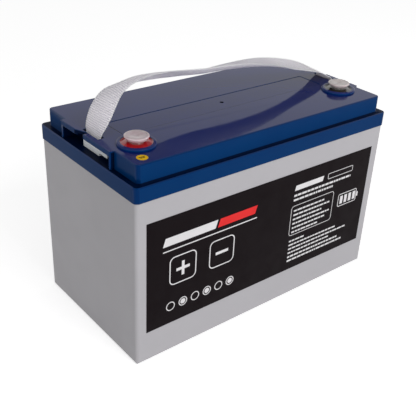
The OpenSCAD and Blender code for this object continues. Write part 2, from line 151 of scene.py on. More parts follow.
def lathe(name, outline, centre, reach=None):
    """A turned piece: the outline of (radius, height) points about an upright axis at centre.
    An outline that starts off the axis is a closed ring. reach(r, z, angle) may change a radius."""
    closed = outline[0][0] > 0
    bm = bmesh.new()
    rings = []
    for r, z in outline:
        if r == 0:
            rings.append([bm.verts.new((centre[0], centre[1], z))] * LATHE_STEPS)
            continue
        ring = []
        for i in range(LATHE_STEPS):
            a = 2 * math.pi * i / LATHE_STEPS
            far = reach(r, z, a) if reach else r
            x, y = centre[0] + far * math.cos(a), centre[1] + far * math.sin(a)
            ring.append(bm.verts.new((x, y, z)))
        rings.append(ring)
    for a, b in zip(rings, rings[1:] + rings[:1] if closed else rings[1:]):
        for i in range(LATHE_STEPS):
            j = (i + 1) % LATHE_STEPS
            corners = dict.fromkeys((a[i], a[j], b[j], b[i]))  # three of them at the axis
            bm.faces.new(corners)
    return mesh_of(bm, name)


# ---- materials ----


def rgb(*shown):
    """A linear colour from display values of 0 to 255."""
    return tuple(
        (v / 255 / 12.92) if v <= 10.3 else ((v / 255 + 0.055) / 1.055) ** 2.4
        for v in shown
    ) + (1.0,)


class Surface:
    """A material on one Principled shader. Constants sit on the shader's own sockets, and the
    methods add procedural colour, roughness and relief in the object's own coordinates."""

    def __init__(self, name, colour, roughness, **constants):
        self.material = bpy.data.materials.new(name)
        self.material.use_nodes = True
        self.tree = self.material.node_tree
        self.shader = self.tree.nodes["Principled BSDF"]
        self.colour = colour
        self.shader.inputs["Base Color"].default_value = colour
        self.shader.inputs["Roughness"].default_value = roughness
        for socket, value in constants.items():
            self.shader.inputs[socket.replace("_", " ")].default_value = value
        self.place = self.tree.nodes.new("ShaderNodeTexCoord").outputs["Object"]

    def node(self, kind, inputs=(), **settings):
        made = self.tree.nodes.new(kind)
        for key, value in settings.items():
            setattr(made, key, value)
        for key, value in dict(inputs).items():
            self.feed(made.inputs[key], value)
        return made

    def feed(self, socket, value):
        if isinstance(value, bpy.types.NodeSocket):
            self.tree.links.new(value, socket)
        else:
            socket.default_value = value

    def stretched(self, scale):
        """The place, scaled along each axis, so that a noise on it is drawn out."""
        made = self.node("ShaderNodeMapping", {"Vector": self.place, "Scale": scale})
        return made.outputs["Vector"]

    def noise(self, size, detail=3.0, place=None):
        """Noise of about 0 to 1 whose lumps are size mm wide."""
        made = self.node(
            "ShaderNodeTexNoise",
            {"Vector": place or self.place, "Scale": 1 / (size * MM), "Detail": detail},
        )
        return made.outputs["Fac"]

    def ranged(self, value, low, high, to_low, to_high):
        ends = {"From Min": low, "From Max": high, "To Min": to_low, "To Max": to_high}
        return self.node("ShaderNodeMapRange", {"Value": value, **ends}).outputs["Result"]

    def calc(self, operation, *values):
        """The result of a Math node."""
        made = self.node("ShaderNodeMath", dict(enumerate(values)), operation=operation)
        return made.outputs["Value"]

    def waves(self, along, pitch, lead=0.0):
        """A sine of -1 to 1 with one wave to each pitch; lead shifts it, in radians."""
        turn = self.calc("MULTIPLY", along, 2 * math.pi / pitch)
        return self.calc("SINE", self.calc("ADD", turn, lead))

    def tint(self, amount, colour):
        """Blends another colour in by amount, which is 0 to 1 over the surface."""
        mix = self.node(
            "ShaderNodeMix", {"Factor": amount, "A": self.colour, "B": colour}, data_type="RGBA"
        )
        self.colour = mix.outputs["Result"]
        self.feed(self.shader.inputs["Base Color"], self.colour)

    def blotches(self, size, share, colour, detail=4, low=0.35, high=0.7):
        """Soft blotches of another colour, size mm wide: share of it where the noise is high."""
        self.tint(self.ranged(self.noise(size, detail), low, high, 0, share), colour)

    def polish(self, value, low, high):
        """Roughness from low to high as value goes from 0.3 to 0.7."""
        self.feed(self.shader.inputs["Roughness"], self.ranged(value, 0.3, 0.7, low, high))

    def relief(self, height, depth):
        """Bump of the given depth in mm, on top of any earlier one."""
        bump = self.node("ShaderNodeBump", {"Height": height, "Distance": depth * MM})
        normal = self.shader.inputs["Normal"]
        if normal.links:
            self.feed(bump.inputs["Normal"], normal.links[0].from_socket)
        self.feed(normal, bump.outputs["Normal"])

    def dust(self, spacing, share, colour):
        """Small specks of dust, one to each cell of spacing mm or fewer."""
        cells = self.node(
            "ShaderNodeTexVoronoi", {"Vector": self.place, "Scale": 1 / (spacing * MM)}
        )
        near = self.ranged(cells.outputs["Distance"], 0.0, share, 1.0, 0.0)
        some = self.ranged(self.noise(spacing * 3), 0.55, 0.62, 0, 0.8)
        self.tint(self.calc("MULTIPLY", near, some), colour)


def seeping(weight, *radii):
    """Constants of a surface that light seeps into, as deep as radii, in mm, for R, G and B."""
    return {
        "Subsurface_Weight": weight,
        "Subsurface_Radius": tuple(r * MM for r in radii),
        "Subsurface_Scale": 1.0,
    }


def lid_side(name):
    s = Surface(name, rgb(3, 50, 99), 0.2, IOR=1.1)
    s.blotches(45, 0.5, rgb(2, 44, 93))
    s.polish(s.noise(30, 5), 0.14, 0.26)
    s.relief(s.noise(0.9, 2), 0.004)
    return s.material


def lid_top(name):
    # The top's base is a darker blue than the sides': painted shade on the upward faces.
    s = Surface(name, rgb(4, 28, 96), 0.06, IOR=1.235)
    s.blotches(45, 0.5, rgb(3, 23, 86))
    s.dust(9, 0.035, rgb(120, 135, 160))
    s.polish(s.noise(30, 5), 0.04, 0.09)
    s.relief(s.noise(18, 1), 0.02)
    s.relief(s.noise(0.9, 2), 0.0015)
    return s.material


def lid_edge(name):
    """The same blue where the mould leaves it smooth: rounded edges and corners, painted a darker
    blue as painted shade, with reflections tinted blue so that they show no white.
    """
    s = Surface(name, rgb(0, 36, 80), 0.05, IOR=1.45, Specular_Tint=rgb(62, 130, 235))
    s.blotches(20, 0.5, rgb(0, 32, 74))
    s.polish(s.noise(12, 4), 0.03, 0.07)
    return s.material


def lid_ring(name):
    """The same blue on the polished walls round the terminals, painted a lighter blue than the
    sides as painted light, with reflections tinted pale blue.
    """
    s = Surface(name, rgb(0, 50, 108), 0.06, IOR=1.45, Specular_Tint=rgb(170, 200, 250))
    s.blotches(6, 0.5, rgb(0, 44, 98))
    s.polish(s.noise(5, 4), 0.04, 0.08)
    return s.material


def lid_painted_shade(name):
    """The same blue painted much darker: painted shade down in the pockets, along the ledge, in the
    vent cover's gas hole and on the cover's rounded edges.
    """
    s = Surface(name, rgb(0, 16, 46), 0.3, IOR=1.08)
    s.blotches(12, 0.5, rgb(0, 10, 34))
    s.polish(s.noise(8, 4), 0.25, 0.4)
    return s.material


def jar_plastic(name):
    s = Surface(name, rgb(176, 174, 178), 0.42, IOR=1.3)
    s.blotches(70, 0.35, rgb(168, 166, 170))
    s.polish(s.noise(25, 5), 0.36, 0.48)
    s.relief(s.noise(0.8, 3), 0.03)
    s.relief(s.noise(60, 1), 0.05)
    return s.material


def bar_nylon(name):
    s = Surface(name, rgb(236, 240, 243), 0.4, IOR=1.5, **seeping(0.15, 2, 2, 2))
    s.blotches(6, 0.4, rgb(224, 229, 234))
    s.polish(s.noise(4, 4), 0.34, 0.5)
    s.relief(s.noise(0.5, 3), 0.01)
    return s.material


def rubber(name):
    s = Surface(name, rgb(32, 33, 35), 0.7, IOR=1.5)
    s.blotches(3, 0.6, rgb(44, 45, 47), 5, 0.4)
    s.polish(s.noise(2, 4), 0.6, 0.8)
    s.relief(s.noise(0.35, 3), 0.02)
    return s.material


def tinned(name):
    s = Surface(name, rgb(205, 203, 200), 0.2, Metallic=1.0)
    s.blotches(1.5, 0.6, rgb(176, 174, 172), 5, 0.45, 0.75)
    s.polish(s.noise(1.2, 4, s.stretched((1, 1, 6))), 0.14, 0.32)
    s.relief(s.noise(0.6, 3, s.stretched((1, 1, 8))), 0.004)
    return s.material


def resin(name, colour, deep, ior):
    s = Surface(name, colour, 0.1, IOR=ior)
    s.blotches(5, 0.6, deep, 3)
    s.polish(s.noise(4, 3), 0.07, 0.16)
    s.relief(s.noise(7, 1), 0.05)
    return s.material


def cap_plastic(name, colour, shade):
    s = Surface(name, colour, 0.2, IOR=1.5, **seeping(1.0, 5, 4.6, 4.8))
    s.blotches(4, 0.6, shade)
    s.polish(s.noise(3, 4), 0.12, 0.22)
    s.relief(s.noise(0.7, 2), 0.002)
    return s.material


def film(name, colour, shade, roughness):
    """Printed label film: a thin skin with a fine even tooth."""
    s = Surface(name, colour, roughness, IOR=1.14)
    s.blotches(20, 0.5, shade)
    s.polish(s.noise(15, 4), roughness - 0.06, roughness + 0.08)
    s.relief(s.noise(0.25, 2), 0.003)
    return s.material


STRAP_W = 25.0
RIB_PITCH = 2.0
YARN_PITCH = 0.9


def webbing(name):
    """Woven polypropylene in the strap's own flat coordinates in mm: fine lengthwise yarns with
    painted shade between them, and painted shade in the grooves between the cross ribs, fading out
    at the selvages. Thin enough for light to come through."""
    s = Surface(name, rgb(252, 242, 251), 0.55, IOR=1.4, **seeping(1.0, 4, 4, 4))
    flat = s.node("ShaderNodeUVMap", uv_map="flat").outputs["UV"]
    split = s.node("ShaderNodeSeparateXYZ", {"Vector": flat})
    yarn = s.waves(split.outputs["X"], YARN_PITCH)
    groove_shade = s.waves(split.outputs["Y"], RIB_PITCH, math.pi / 2)
    s.relief(yarn, 0.05)
    s.relief(s.noise(0.35, 3), 0.05)
    # Painted shade in the grooves between the cross ribs.
    s.tint(s.ranged(groove_shade, 0.3, 1, 0, 0.75), rgb(186, 179, 194))
    # Painted shade between the yarns.
    s.tint(s.ranged(yarn, -1, 1, 0.3, 0), rgb(222, 214, 230))
    s.blotches(9, 0.3, rgb(238, 230, 240), 4, 0.4, 0.75)
    # Near the selvages the colour goes back to near white, so the painted groove shade fades out
    # there.
    edge = s.calc("ABSOLUTE", split.outputs["X"])
    s.tint(s.ranged(edge, STRAP_W / 2 - 1, STRAP_W / 2 - 0.5, 0, 0.9), rgb(250, 246, 252))
    return s.material


def lead(name):
    s = Surface(name, rgb(112, 115, 120), 0.5, Metallic=0.9)
    s.blotches(4, 0.8, rgb(84, 87, 93), 5, 0.4)
    s.polish(s.noise(3, 4), 0.4, 0.65)
    s.relief(s.noise(1.5, 4), 0.06)
    return s.material


def paste(name, colour, shade):
    """Active mass pressed into a cast grid, whose bars show as shallow squares."""
    s = Surface(name, colour, 0.85)
    s.blotches(2.5, 0.8, shade, 5)
    s.relief(s.noise(0.6, 4), 0.08)
    grid = s.node(
        "ShaderNodeTexBrick",
        {"Vector": s.stretched((0, 1 / MM, 1 / MM)), "Scale": 0.1, "Mortar Size": 0.01},
    )
    s.relief(grid.outputs["Fac"], 0.2)
    return s.material


def glass_mat(name):
    s = Surface(name, rgb(232, 230, 222), 0.9)
    s.blotches(3, 0.5, rgb(214, 211, 202), 5, 0.4)
    s.relief(s.noise(0.5, 5, s.stretched((1, 3, 1))), 0.08)
    return s.material


# ---- lid, vent cover and jar ----

NEAR = 0.05
FACES_UP = 0.7
FACES_ACROSS = 0.98

lid_low, lid_high = node_box("lid")
cover_low, cover_high = node_box("vent_cover")
seal_low, seal_high = node_box("positive_seal")
bar_low, bar_high = node_box("right_handle_bar")

# the lid's forms, as in the CAD
RING_H = 2.5
RING_SLOPE = 0.4
RING_WALL = 0.5
POCKET_NEAR, POCKET_FAR = -40.0, 42.0
POCKET_D = 13.5
RIB_T = 3.0
LIP_X = lid_high[0] - 2.0
LIP_INSIDE = LIP_X - 0.5
CORNER_CUT = 5.0
COVER_SEAT = 1.0
GAS_HOLE_REACH = 3.0
GAS_HOLE = Vector((cover_low + cover_high) / 2)
TERMINALS = [
    Vector(sum(node_box(sign + "_seal")) / 2).xy for sign in ("positive", "negative")
]
RING_HOLE_R = (seal_high - seal_low)[0] / 2 + RING_WALL
deck_top = lid_high[2] - RING_H
flange_foot = lid_low[2]
flange_top = bar_low[2]

# how far its edges are rounded
DECK_EDGE = 1.2
LIP_EDGE = 0.8
RIB_EDGE = 1.35
SLOT_EDGE = 0.5
COVER_SEAT_EDGE = 0.6
COVER_EDGE = 0.25
RING_EDGE = 0.6
RING_HOLE_EDGE = 0.2
FLANGE_EDGE = 1.0
FOOT_EDGE = 0.4


def middle(edge):
    return (edge.verts[0].co + edge.verts[1].co) / 2


def upright(edge):
    a, b = (v.co for v in edge.verts)
    return abs(a.x - b.x) + abs(a.y - b.y) < NEAR


def beside_pocket(x, y):
    """Whether a place is over the pocket, its slot or the ribs at its sides."""
    across = POCKET_NEAR - RIB_T - NEAR < y < POCKET_FAR + RIB_T + NEAR
    return abs(x) > LIP_X - POCKET_D - NEAR and across


def at_rim(x, y):
    """Whether a place is on the flange's outer walls or its cut corners."""
    corner = x + y > lid_high[0] + lid_high[1] - CORNER_CUT
    return x > lid_high[0] - NEAR or y > lid_high[1] - NEAR or corner


def lid_rounding(edge):
    """How far each outer edge of the lid is rounded, in mm."""
    m = middle(edge)
    x, y, z = abs(m.x), abs(m.y), m.z
    at_pocket = beside_pocket(m.x, m.y)
    if upright(edge):
        if at_pocket and x > LIP_INSIDE and z < deck_top:
            return SLOT_EDGE if POCKET_NEAR < m.y < POCKET_FAR else RIB_EDGE
        return 0
    if z > deck_top + NEAR:
        ring_hole = min((m.xy - axis).length for axis in TERMINALS) < RING_HOLE_R
        return RING_HOLE_EDGE if ring_hole else RING_EDGE
    if abs(z - deck_top) < NEAR:
        if x < COVER_SEAT - cover_low[0] and y < COVER_SEAT - cover_low[1]:
            return COVER_SEAT_EDGE
        if at_pocket and x < LIP_INSIDE:
            return SLOT_EDGE
        return LIP_EDGE if at_pocket else DECK_EDGE
    if at_pocket and flange_top + NEAR < z:
        return SLOT_EDGE
    if abs(z - flange_top) < NEAR and at_rim(x, y):
        return FLANGE_EDGE
    if abs(z - flange_foot) < NEAR and at_rim(x, y):
        return FOOT_EDGE
    return 0


def cover_rounding(edge):
    """The vent cover's upper edge is rounded all round, and its gas hole is left sharp."""
    m = middle(edge)
    at_top = m.z > cover_high[2] - NEAR and not upright(edge)
    return COVER_EDGE if at_top and (m - GAS_HOLE).xy.length > GAS_HOLE_REACH else 0


SIDE, TOP, EDGE, PAINTED_SHADE, RING = range(5)
LID_FINISHES = (
    lid_side("lid_blue_satin"),
    lid_top("lid_blue_gloss"),
    lid_edge("lid_blue_edge"),
    lid_painted_shade("lid_blue_painted_shade"),
    lid_ring("lid_blue_ring"),
)


def lid_finish(face):
    """Satin sides, a glossy top, smooth corners and ribs, and polished rings, all one blue with
    painted base colours: darker on the top, corners and ribs as painted shade, lighter on the rings
    as painted light, and much darker in the hollows as painted shade.
    """
    m, n = face.center / MM, face.normal
    # The walls of the vent cover's gas hole take the painted shade finish.
    if abs(n.z) < FACES_UP and (m - GAS_HOLE).xy.length < GAS_HOLE_REACH:
        return PAINTED_SHADE
    # Upward faces below the deck, the ledge and the pocket floors, take the painted shade finish.
    if n.z > FACES_UP or m.z > deck_top + NEAR and n.z > RING_SLOPE:
        return TOP if m.z > deck_top - 1 else PAINTED_SHADE
    if beside_pocket(m.x, m.y) and flange_top - NEAR < m.z < deck_top - NEAR:
        # The walls inside the pockets take the painted shade finish.
        if abs(m.x) < LIP_INSIDE:
            return PAINTED_SHADE
        return SIDE if abs(n.x) > FACES_ACROSS else EDGE
    if m.z > deck_top + NEAR:
        return RING
    return EDGE if max(abs(n.x), abs(n.y)) < FACES_ACROSS else SIDE


def finish_lid(piece):
    for material in LID_FINISHES:
        piece.data.materials.append(material)
    for face in piece.data.polygons:
        face.material_index = lid_finish(face)


lid = rounded_copy("lid", "lid_shell", lid_rounding, finish=EDGE)
finish_lid(lid)
finish_piece(lid, "case", None, "lid_plastic", "lid")
# The cover's rounded edges take the painted shade finish, a painted dark line round it.
cover = rounded_copy("vent_cover", "vent_strip", cover_rounding, finish=PAINTED_SHADE)
finish_lid(cover)
finish_piece(cover, "case", None, "cover_plastic", "vent_cover")


def repaint(node, material):
    """A CAD node that is shown as it is, with a procedural material in place of its plain one."""
    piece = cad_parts[node]
    piece.data.materials.clear()
    piece.data.materials.append(material)


repaint("container", jar_plastic("jar_grey"))


# ---- terminals ----

M8_PITCH = 1.25
BORE_R = 3.4
BORE_DEPTH = 20
THREAD_DEPTH = 0.6
THREAD_STEPS = 8
THREAD_START = 1
THREAD_END = 0.6
SHANK_R = 8.5
COLLAR_R = 6.25
CAP_HOLE_R = 6.4
FLANGE_T = 3
BORE_CONE = 1.5
RESIN_T = 1


def threaded(foot, top):
    """The reach of a lathe where the bore from foot to top has a nut thread in it."""

    def reach(r, z, angle):
        if r > BORE_R + NEAR or z < foot + THREAD_START:
            return r
        share = (z / M8_PITCH - angle / (2 * math.pi)) % 1
        run_out = min(1, (top - z) / M8_PITCH, (z - foot - THREAD_START) / M8_PITCH)
        return r + THREAD_DEPTH * run_out * (1 - abs(2 * share - 1))

    return reach


def insert_outline(low, high, gasket_r, gasket_top, shoulder):
    """The metal insert: up its bore, over the collar, and down past the flange to its foot."""
    bore_foot = high - BORE_DEPTH
    turns = int((high - THREAD_END - bore_foot - THREAD_START) / M8_PITCH * THREAD_STEPS)
    outline = [(0, bore_foot - BORE_CONE), (BORE_R, bore_foot)]
    for k in range(1, turns + 1):
        outline.append((BORE_R, bore_foot + THREAD_START + k * M8_PITCH / THREAD_STEPS))
    return outline + rounded(
        [
            (BORE_R, high - 0.5, 0),
            (BORE_R + 0.5, high, 0),
            (COLLAR_R, high, 0.4),
            (COLLAR_R, shoulder, 0),
            (SHANK_R, shoulder, 0.3),
            (SHANK_R, gasket_top + FLANGE_T, 0),
            (gasket_r, gasket_top + FLANGE_T, 0.3),
            (gasket_r, gasket_top, 0.3),
            (SHANK_R, gasket_top, 0),
            (SHANK_R, low, 0.5),
            (0, low, 0),
        ]
    )


def resin_outline(low, top, r, shoulder):
    """The poured resin, which creeps up the ring at its rim and up the collar at its middle."""
    return rounded(
        [
            (SHANK_R, low, 0),
            (r, low, 0),
            (r, top + 0.45, 0),
            (r - 0.25, top + 0.2, 0),
            (r - 1.1, top, 0.7),
            (COLLAR_R + 3, top + 0.1, 2),
            (COLLAR_R + 0.4, top + 0.75, 0.6),
            (COLLAR_R, top + 1.1, 0),
            (COLLAR_R, shoulder, 0),
            (SHANK_R, shoulder, 0),
        ]
    )


def cap_outline(foot, top, r, roof):
    """The flared cap: a dimple in its top, a raised rim, and the hole that grips the collar."""
    dimple = [(0, top - 0.8), (0.9, top - 0.75), (1.9, top - 0.5), (2.8, top - 0.2)]
    return dimple + rounded(
        [
            (3.6, top - 0.02, 0),
            (r - 2.2, top, 0.3),
            (r - 1.7, top - 0.2, 0.2),
            (r - 1.4, top - 0.05, 0.15),
            (r, top - 0.05, 0.3),
            (r - 0.1, top - 1.3, 0.8),
            (r - 0.9, top - 2.5, 0.8),
            (r - 2.3, top - 3.4, 0.5),
            (7.4, foot, 0.3),
            (CAP_HOLE_R, foot, 0.15),
            (CAP_HOLE_R, roof, 0.2),
            (0, roof, 0),
        ]
    )


def terminal_pieces(sign, seal_slot, seal_material, cap_material, metal):
    """The metal insert, the resin seal round it and the flared cap on it."""
    low, high = node_box(sign + "_terminal")
    seal_foot, seal_edge = node_box(sign + "_seal")
    cap_foot, cap_edge = node_box(sign + "_cap")
    gasket_edge = node_box(sign + "_gasket")[1]
    centre = (low + high) / 2
    shoulder = seal_edge[2] - RESIN_T

    outline = insert_outline(
        low[2], high[2], gasket_edge[0] - centre[0], gasket_edge[2], shoulder
    )
    thread = threaded(high[2] - BORE_DEPTH, high[2])
    insert = lathe(sign + "_insert", outline, centre, thread)
    finish_piece(insert, "case", metal, "tinned_metal", sign + "_terminal")

    outline = resin_outline(seal_foot[2], seal_edge[2], seal_edge[0] - centre[0], shoulder)
    resin_ring = lathe(sign + "_resin", outline, centre)
    finish_piece(resin_ring, "case", seal_material, seal_slot, sign + "_seal")

    outline = cap_outline(cap_foot[2], cap_edge[2], cap_edge[0] - centre[0], high[2])
    cap = lathe(sign + "_button", outline, centre)
    finish_piece(cap, sign + "_cap", cap_material, "cap_clear", sign + "_cap")


metal = tinned("tinned_insert")
terminal_pieces(
    "positive",
    "seal_red",
    resin("resin_red", rgb(184, 4, 18), rgb(160, 2, 12), 1.5),
    # The caps are one milky plastic; the positive cap's rose tint is painted reflection of the red
    # resin round it.
    cap_plastic("cap_rose", rgb(206, 186, 190), rgb(194, 172, 176)),
    metal,
)
terminal_pieces(
    "negative",
    "seal_black",
    resin("resin_black", rgb(40, 36, 34), rgb(30, 27, 26), 1.5),
    cap_plastic("cap_cream", rgb(202, 190, 188), rgb(188, 176, 172)),
    metal,
)


# ---- handle ----

STRAP_T = 1.4
RIB_STEPS = 6
RIB_HEIGHT = 0.4
RIB_SHAPE = 0.7
RIB_SWELL = (0.88, 1.06)
SCALLOP = 0.45
COLUMNS = 36
COLUMN_SPREAD = 0.985 * math.pi / 2
SELVAGE_ROUND = 18
SPLINE_STEPS = 24

# the strap's run from slot to slot: share of the half span, share of the arch's height,
# sway to +Y, tilt in degrees (minus lifts the -Y edge), and depth of the gutter across it
STRAP_RUN = [
    (-0.994, 0.1, -0.3, 8, 0),
    (-0.975, 0.26, -0.6, 18, -0.5),
    (-0.947, 0.46, -0.8, 24, -1.5),
    (-0.91, 0.67, -0.6, 19, -2.5),
    (-0.86, 0.85, 0, 4, -3),
    (-0.785, 0.96, 0, -15, -3.7),
    (-0.67, 1.01, 0.5, -27, -4),
    (-0.51, 1.01, 1, -31, -2),
    (-0.35, 0.96, 2, -30, 1),
    (-0.18, 0.92, 2.4, -25, 3),
    (0, 0.92, 2.6, -18, 4),
    (0.18, 0.89, 2.3, -9, 4.5),
    (0.34, 0.83, 1.6, 0, 4.6),
    (0.48, 0.73, 0.8, 7, 4),
    (0.6, 0.61, 0, 13, 3),
    (0.71, 0.5, -0.5, 12, 1.7),
    (0.8, 0.39, -0.6, 8, 0.8),
    (0.87, 0.29, -0.4, 4, 0.2),
    (0.92, 0.19, 0, 2, 0),
    (0.96, 0.105, 0, 1, 0),
    (0.985, 0.06, 0, 0, 0),
    (0.998, 0.015, 0, 0, 0),
]
ARCH_H = 41.0
STRAP_X = (bar_low[0] + bar_high[0]) / 2
LEG_FOOT = node_box("handle_strap")[0][2]
LEG = (0, 0.4, 0.8)


def strap_stations():
    """Place x, y, z, tilt and gutter depth of each station, from one bar to the other."""
    leg = [LEG_FOOT + k * (deck_top - LEG_FOOT) for k in LEG]
    run = [
        (share * STRAP_X, sway, deck_top + rise * ARCH_H, tilt, gutter)
        for share, rise, sway, tilt, gutter in STRAP_RUN
    ]
    first = [(-STRAP_X, 0, z, 0, 0) for z in leg]
    last = [(STRAP_X, 0, z, 0, 0) for z in reversed(leg)]
    return np.array(first + run + last, float)


def strap_line():
    """The same five values every fraction of a rib along the strap, and the run at each."""
    p = strap_stations()
    ends = np.vstack([p[:1], p, p[-1:]])
    fine = []
    for a, b, c, d in zip(ends, ends[1:], ends[2:], ends[3:]):
        for t in np.arange(SPLINE_STEPS) / SPLINE_STEPS:
            fine.append(
                b
                + (c - a) * t / 2
                + (a - 2.5 * b + 2 * c - d / 2) * t**2
                + (1.5 * (b - c) + (d - a) / 2) * t**3
            )
    fine = np.array(fine + [p[-1]])
    steps = np.linalg.norm(np.diff(fine[:, :3], axis=0), axis=1)
    along = np.concatenate([[0], np.cumsum(steps)])
    count = int(round(along[-1] / RIB_PITCH)) * RIB_STEPS
    even = np.linspace(0, along[-1], count + 1)
    line = np.stack([np.interp(even, along, fine[:, k]) for k in range(5)], 1)
    run = np.gradient(line[:, :3], axis=0)
    return even, line, run / np.linalg.norm(run, axis=1)[:, None]


def strap_mesh():
    """The woven band: cross ribs on both faces, thin rounded selvages, closed at its ends."""
    along, line, run = strap_line()
    level = np.array([0, 1, 0]) - run[:, 1:2] * run
    level /= np.linalg.norm(level, axis=1)[:, None]
    tilt = np.radians(line[:, 3])[:, None]
    side = np.cos(tilt) * level + np.sin(tilt) * np.cross(run, level)
    up = np.cross(side, -run)
    even = np.linspace(-1, 1, COLUMNS + 1)
    across = (even + np.sin(even * COLUMN_SPREAD) / math.sin(COLUMN_SPREAD)) / 2
    rib = np.abs(np.sin(math.pi * along / RIB_PITCH)) ** RIB_SHAPE
    draw = random.Random(7)
    count = int(along[-1] / RIB_PITCH) + 2
    swell = np.array([draw.uniform(*RIB_SWELL) for _ in range(count)])
    rib = rib * swell[(along / RIB_PITCH).astype(int)]
    bm = bmesh.new()
    flat = bm.loops.layers.uv.new("flat")
    flat_of = {}
    rings = []
    for i in range(len(along)):
        ring = []
        for face in (1, -1):
            columns = range(COLUMNS + 1) if face > 0 else range(COLUMNS - 1, 0, -1)
            for j in columns:
                k = across[j]
                half = (STRAP_T / 2 - RIB_HEIGHT) + RIB_HEIGHT * rib[i]
                half *= math.sqrt(max(0.0, 1 - abs(k) ** SELVAGE_ROUND))
                reach = k * (STRAP_W / 2 - SCALLOP + SCALLOP * rib[i])
                rise = face * half - line[i, 4] * (1 - k * k)
                v = bm.verts.new(line[i, :3] + reach * side[i] + rise * up[i])
                flat_of[v] = (k * STRAP_W / 2, along[i])
                ring.append(v)
        rings.append(ring)
    n = len(rings[0])
    for a, b in zip(rings, rings[1:]):
        for k in range(n):
            m = (k + 1) % n
            bm.faces.new((a[k], a[m], b[m], b[k]))
    bm.faces.new(rings[0])
    bm.faces.new(rings[-1])
    for f in bm.faces:
        for loop in f.loops:
            loop[flat].uv = flat_of[loop.vert]
    return bm, along[-1]


BAR_EDGE = 0.9
BAR_TOP_EDGE = 0.3
SOCKET_REACH = 13.0


def bar_rounding(edge):
    """A bar is well rounded but for the long edges of its top and the mouth of its socket."""
    m = middle(edge)
    at_top = abs(m.y) <= SOCKET_REACH and m.z >= bar_high[2] - NEAR
    return BAR_TOP_EDGE if at_top else BAR_EDGE


strap_bm, strap_length = strap_mesh()
strap = mesh_of(strap_bm, "woven_strap")
finish_piece(strap, "handle", webbing("webbing_white"), "webbing_white", "handle_strap")
nylon = bar_nylon("nylon_white")
for end in ("left", "right"):
    bar = rounded_copy(end + "_handle_bar", end + "_grip_bar", bar_rounding)
    finish_piece(bar, "handle", nylon, "bar_white", end + "_handle_bar")


# ---- label and sticker ----

FILM_EDGE = 0.08
STICKER_EDGE = 0.06
label_low = node_box("front_label")[0]
sticker_low, sticker_high = node_box("date_sticker")
PRINT_T = 0.04
BOX_STEPS = 5
DASH = (2.2, 7.5)
DASH_LEAST = 0.8
DASH_GAP = 0.9


class Print:
    """Flat shapes on a film, in the film's own flat coordinates in mm, gathered into one thin
    mesh. ink is the place of a shape's material among the mesh's materials."""

    def __init__(self, corner, right, up, out):
        self.bm = bmesh.new()
        self.corner, self.right, self.up, self.out = map(Vector, (corner, right, up, out))

    def loop(self, points, lift):
        return [
            self.bm.verts.new(self.corner + self.right * u + self.up * v + self.out * lift)
            for u, v in points
        ]

    def shape(self, points, ink=0):
        """A filled shape with thin sides."""
        foot, face = self.loop(points, 0), self.loop(points, PRINT_T)
        made = [self.bm.faces.new(face), self.bm.faces.new(reversed(foot))]
        for i in range(len(points)):
            j = (i + 1) % len(points)
            made.append(self.bm.faces.new((foot[i], foot[j], face[j], face[i])))
        for f in made:
            f.material_index = ink

    def outline(self, outer, inner):
        """The strip between two loops with the same number of points."""
        loops = [self.loop(p, lift) for p in (outer, inner) for lift in (0, PRINT_T)]
        low_out, high_out, low_in, high_in = loops
        ring = (low_out, high_out, high_in, low_in)
        for i in range(len(outer)):
            j = (i + 1) % len(outer)
            for a, b in zip(ring, ring[1:] + ring[:1]):
                self.bm.faces.new((a[i], a[j], b[j], b[i]))

    def bar(self, u, v, w, h, slant=0.0, ink=0):
        self.shape([(u, v), (u + w, v), (u + w + slant, v + h), (u + slant, v + h)], ink)

    def ring(self, u, v, r, line):
        self.outline(circle(u, v, r), circle(u, v, r - line))

    def frame(self, u, v, w, h, r, line):
        self.outline(
            rounded_box(u, v, w, h, r),
            rounded_box(u + line, v + line, w - 2 * line, h - 2 * line, r - line),
        )


def circle(u, v, r, steps=40):
    turn = 2 * math.pi / steps
    return [(u + r * math.cos(turn * i), v + r * math.sin(turn * i)) for i in range(steps)]


def rounded_box(u, v, w, h, r):
    points = []
    for quarter, (cu, cv) in enumerate(
        [(u + w - r, v + h - r), (u + r, v + h - r), (u + r, v + r), (u + w - r, v + r)]
    ):
        for k in range(BOX_STEPS + 1):
            a = (quarter + k / BOX_STEPS) * math.pi / 2
            points.append((cu + r * math.cos(a), cv + r * math.sin(a)))
    return points


def text_rows(page, u, v, widths, height, spacing, draw):
    """Rows of short dashes that stand for lines of small print, from the top down."""
    for row, width in enumerate(widths):
        at = 0.0
        while at < width:
            dash = min(draw.uniform(*DASH), width - at)
            if dash > DASH_LEAST:
                page.bar(u + at, v - row * spacing, dash, height)
            at += dash + DASH_GAP


white_ink = film("ink_white", rgb(222, 220, 222), rgb(208, 206, 208), 0.4)
red_ink = film("ink_red", rgb(222, 52, 52), rgb(208, 42, 44), 0.4)


